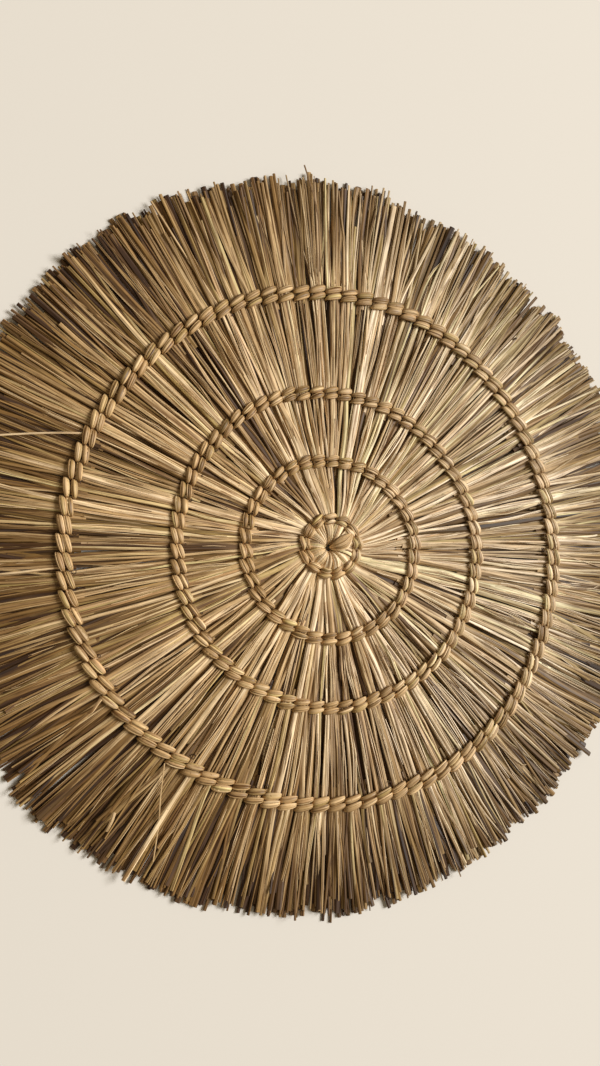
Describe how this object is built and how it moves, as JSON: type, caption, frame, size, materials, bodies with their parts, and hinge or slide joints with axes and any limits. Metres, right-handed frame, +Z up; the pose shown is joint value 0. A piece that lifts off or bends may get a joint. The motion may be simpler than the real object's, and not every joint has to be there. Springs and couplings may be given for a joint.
{
  "type": "seagrass table mat",
  "caption": "Round flat table mat of radiating dried seagrass stems, held by concentric rings of twining, with a ragged fringe of loose stem ends.",
  "frame": {"origin": "middle of the hub, on the surface that the mat lies on", "axes": "+Z up out of the table, +Y towards the edge that is uppermost in the picture, +X to its right"},
  "size_m": [0.4049, 0.4026, 0.012],
  "materials": {
    "stems": "dried seagrass stems, straw to olive tan, matt with a faint sheen",
    "twine": "twisted flat seagrass leaf, straw, satin"
  },
  "bodies": {
    "root": {"stem_field": "stems", "stem_fringe": "stems", "twine_inner_front": "twine", "twine_inner_back": "twine", "twine_first_front": "twine", "twine_first_back": "twine", "twine_second_front": "twine", "twine_second_back": "twine", "twine_third_front": "twine", "twine_third_back": "twine"}
  },
  "joints": []
}
